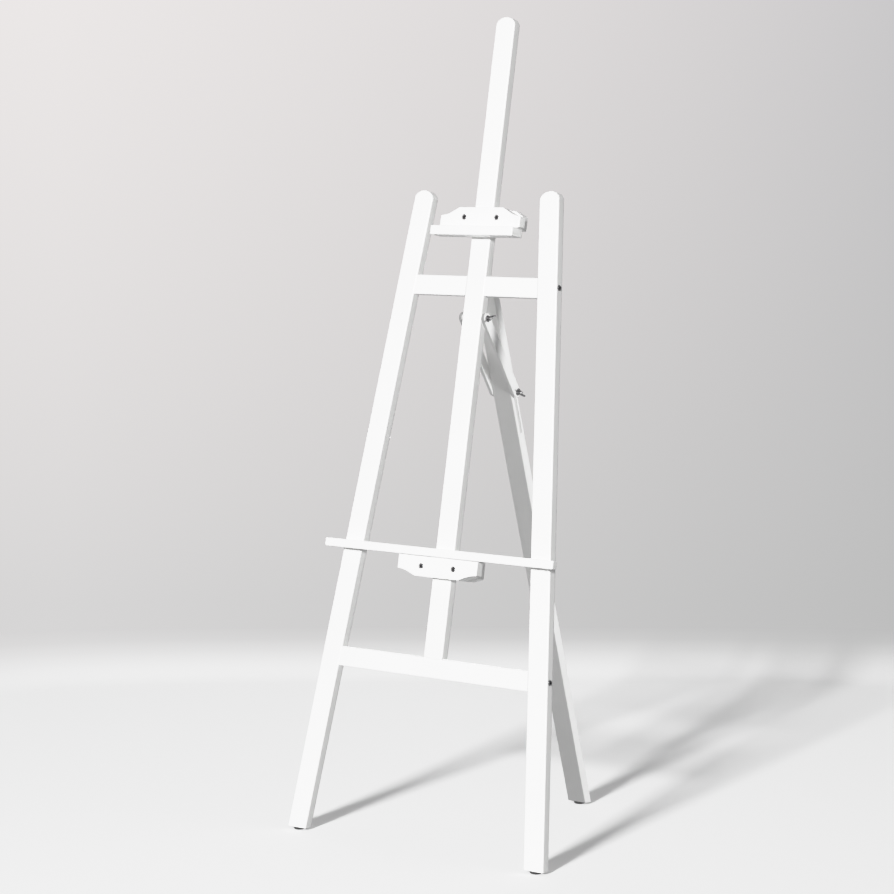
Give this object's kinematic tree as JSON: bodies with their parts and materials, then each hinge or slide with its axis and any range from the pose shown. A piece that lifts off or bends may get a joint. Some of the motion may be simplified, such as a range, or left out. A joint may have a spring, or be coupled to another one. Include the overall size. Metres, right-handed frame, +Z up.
{
  "type": "h frame studio easel",
  "caption": "White wooden H-frame easel: splayed front legs, central mast, sliding tray and top clamp, and a hinged rear leg with a pair of braces.",
  "frame": {"origin": "on the floor, in the middle of the easel's footprint", "axes": "+Z up, -Y out of the easel's front, +X to the viewer's right when facing the front"},
  "size_m": [0.7192, 0.636, 1.8137],
  "materials": {
    "white_paint": "satin white paint over planed timber with eased edges",
    "zinc_steel": "bright zinc plated steel hardware",
    "dark_steel": "blackened steel butt hinge and screws",
    "bare_dowel": "bare beech dowel inside the joint",
    "black_rubber": "matt black moulded rubber"
  },
  "bodies": {
    "front_frame": {"left_leg": "white_paint", "right_leg": "white_paint", "mast": "white_paint", "upper_crossbar": "white_paint", "lower_crossbar": "white_paint", "mast_foot_dowel": "bare_dowel", "left_lower_leg_bolt": "zinc_steel", "left_lower_barrel_nut": "zinc_steel", "left_upper_leg_bolt": "zinc_steel", "left_upper_barrel_nut": "zinc_steel", "right_lower_leg_bolt": "zinc_steel", "right_lower_barrel_nut": "zinc_steel", "right_upper_leg_bolt": "zinc_steel", "right_upper_barrel_nut": "zinc_steel", "left_lap_screw": "zinc_steel", "right_lap_screw": "zinc_steel", "hinge_mast_leaf": "dark_steel", "hinge_pin": "dark_steel", "hinge_mast_screw_1": "dark_steel", "hinge_mast_screw_2": "dark_steel", "brace_top_bolt": "zinc_steel", "brace_top_washer": "zinc_steel", "left_foot": "black_rubber", "right_foot": "black_rubber"},
    "rear_leg": {"rear_leg": "white_paint", "hinge_leg_leaf": "dark_steel", "hinge_leg_screw_1": "dark_steel", "hinge_leg_screw_2": "dark_steel", "rear_foot": "black_rubber"},
    "brace_pair": {"left_brace": "white_paint", "right_brace": "white_paint", "brace_pin_bolt": "zinc_steel", "brace_pin_washer": "zinc_steel"},
    "brace_top_nut": {"brace_top_wing_nut": "zinc_steel"},
    "brace_pin_nut": {"brace_pin_wing_nut": "zinc_steel"},
    "upper_clamp": {"upper_ledge_board": "white_paint", "upper_ledge_front_plate": "white_paint", "upper_ledge_rear_plate": "white_paint", "upper_ledge_left_bolt": "zinc_steel", "upper_ledge_left_washer": "zinc_steel", "upper_ledge_left_screw": "zinc_steel", "upper_ledge_right_bolt": "zinc_steel", "upper_ledge_right_washer": "zinc_steel", "upper_ledge_right_screw": "zinc_steel"},
    "upper_clamp_left_nut": {"upper_ledge_left_wing_nut": "zinc_steel"},
    "upper_clamp_right_nut": {"upper_ledge_right_wing_nut": "zinc_steel"},
    "tray_clamp": {"tray_board": "white_paint", "tray_front_plate": "white_paint", "tray_rear_plate": "white_paint", "tray_left_bolt": "zinc_steel", "tray_left_washer": "zinc_steel", "tray_left_screw": "zinc_steel", "tray_right_bolt": "zinc_steel", "tray_right_washer": "zinc_steel", "tray_right_screw": "zinc_steel"},
    "tray_clamp_left_nut": {"tray_left_wing_nut": "zinc_steel"},
    "tray_clamp_right_nut": {"tray_right_wing_nut": "zinc_steel"}
  },
  "joints": [
    {"name": "rear_leg_fold", "type": "hinge", "parent": "front_frame", "child": "rear_leg", "pos_m": [0, -0.06311, 1.23959], "axis": [1, 0, 0], "range_deg": [-22, 0]},
    {"name": "brace_swing", "type": "hinge", "parent": "front_frame", "child": "brace_pair", "pos_m": [0, -0.09322, 1.15333], "axis": [1, 0, 0], "range_deg": [-31.3, 0]},
    {"name": "upper_clamp_slide", "type": "slide", "parent": "front_frame", "child": "upper_clamp", "axis": [0, 0.1815, 0.9834], "range_m": [-0.075, 0.4]},
    {"name": "tray_slide", "type": "slide", "parent": "front_frame", "child": "tray_clamp", "axis": [0, 0.1815, 0.9834], "range_m": [-0.165, 0.3]},
    {"name": "brace_top_nut_turn", "type": "hinge", "parent": "front_frame", "child": "brace_top_nut", "pos_m": [0.045, -0.09322, 1.15333], "axis": [1, 0, 0], "continuous": true},
    {"name": "brace_pin_nut_turn", "type": "hinge", "parent": "brace_pair", "child": "brace_pin_nut", "pos_m": [0.045, 0.01601, 0.98424], "axis": [1, 0, 0], "continuous": true},
    {"name": "upper_clamp_left_nut_turn", "type": "hinge", "parent": "upper_clamp", "child": "upper_clamp_left_nut", "pos_m": [-0.0365, -0.01492, 1.36127], "axis": [0, -0.9834, 0.1815], "continuous": true},
    {"name": "upper_clamp_right_nut_turn", "type": "hinge", "parent": "upper_clamp", "child": "upper_clamp_right_nut", "pos_m": [0.0535, -0.01492, 1.36127], "axis": [0, -0.9834, 0.1815], "continuous": true},
    {"name": "tray_clamp_left_nut_turn", "type": "hinge", "parent": "tray_clamp", "child": "tray_clamp_left_nut", "pos_m": [-0.045, -0.15538, 0.60042], "axis": [0, -0.9834, 0.1815], "continuous": true},
    {"name": "tray_clamp_right_nut_turn", "type": "hinge", "parent": "tray_clamp", "child": "tray_clamp_right_nut", "pos_m": [0.045, -0.15538, 0.60042], "axis": [0, -0.9834, 0.1815], "continuous": true}
  ],
  "couplings": [
    {"joint": "brace_swing", "follows": "rear_leg_fold", "ratio": 1.414}
  ]
}
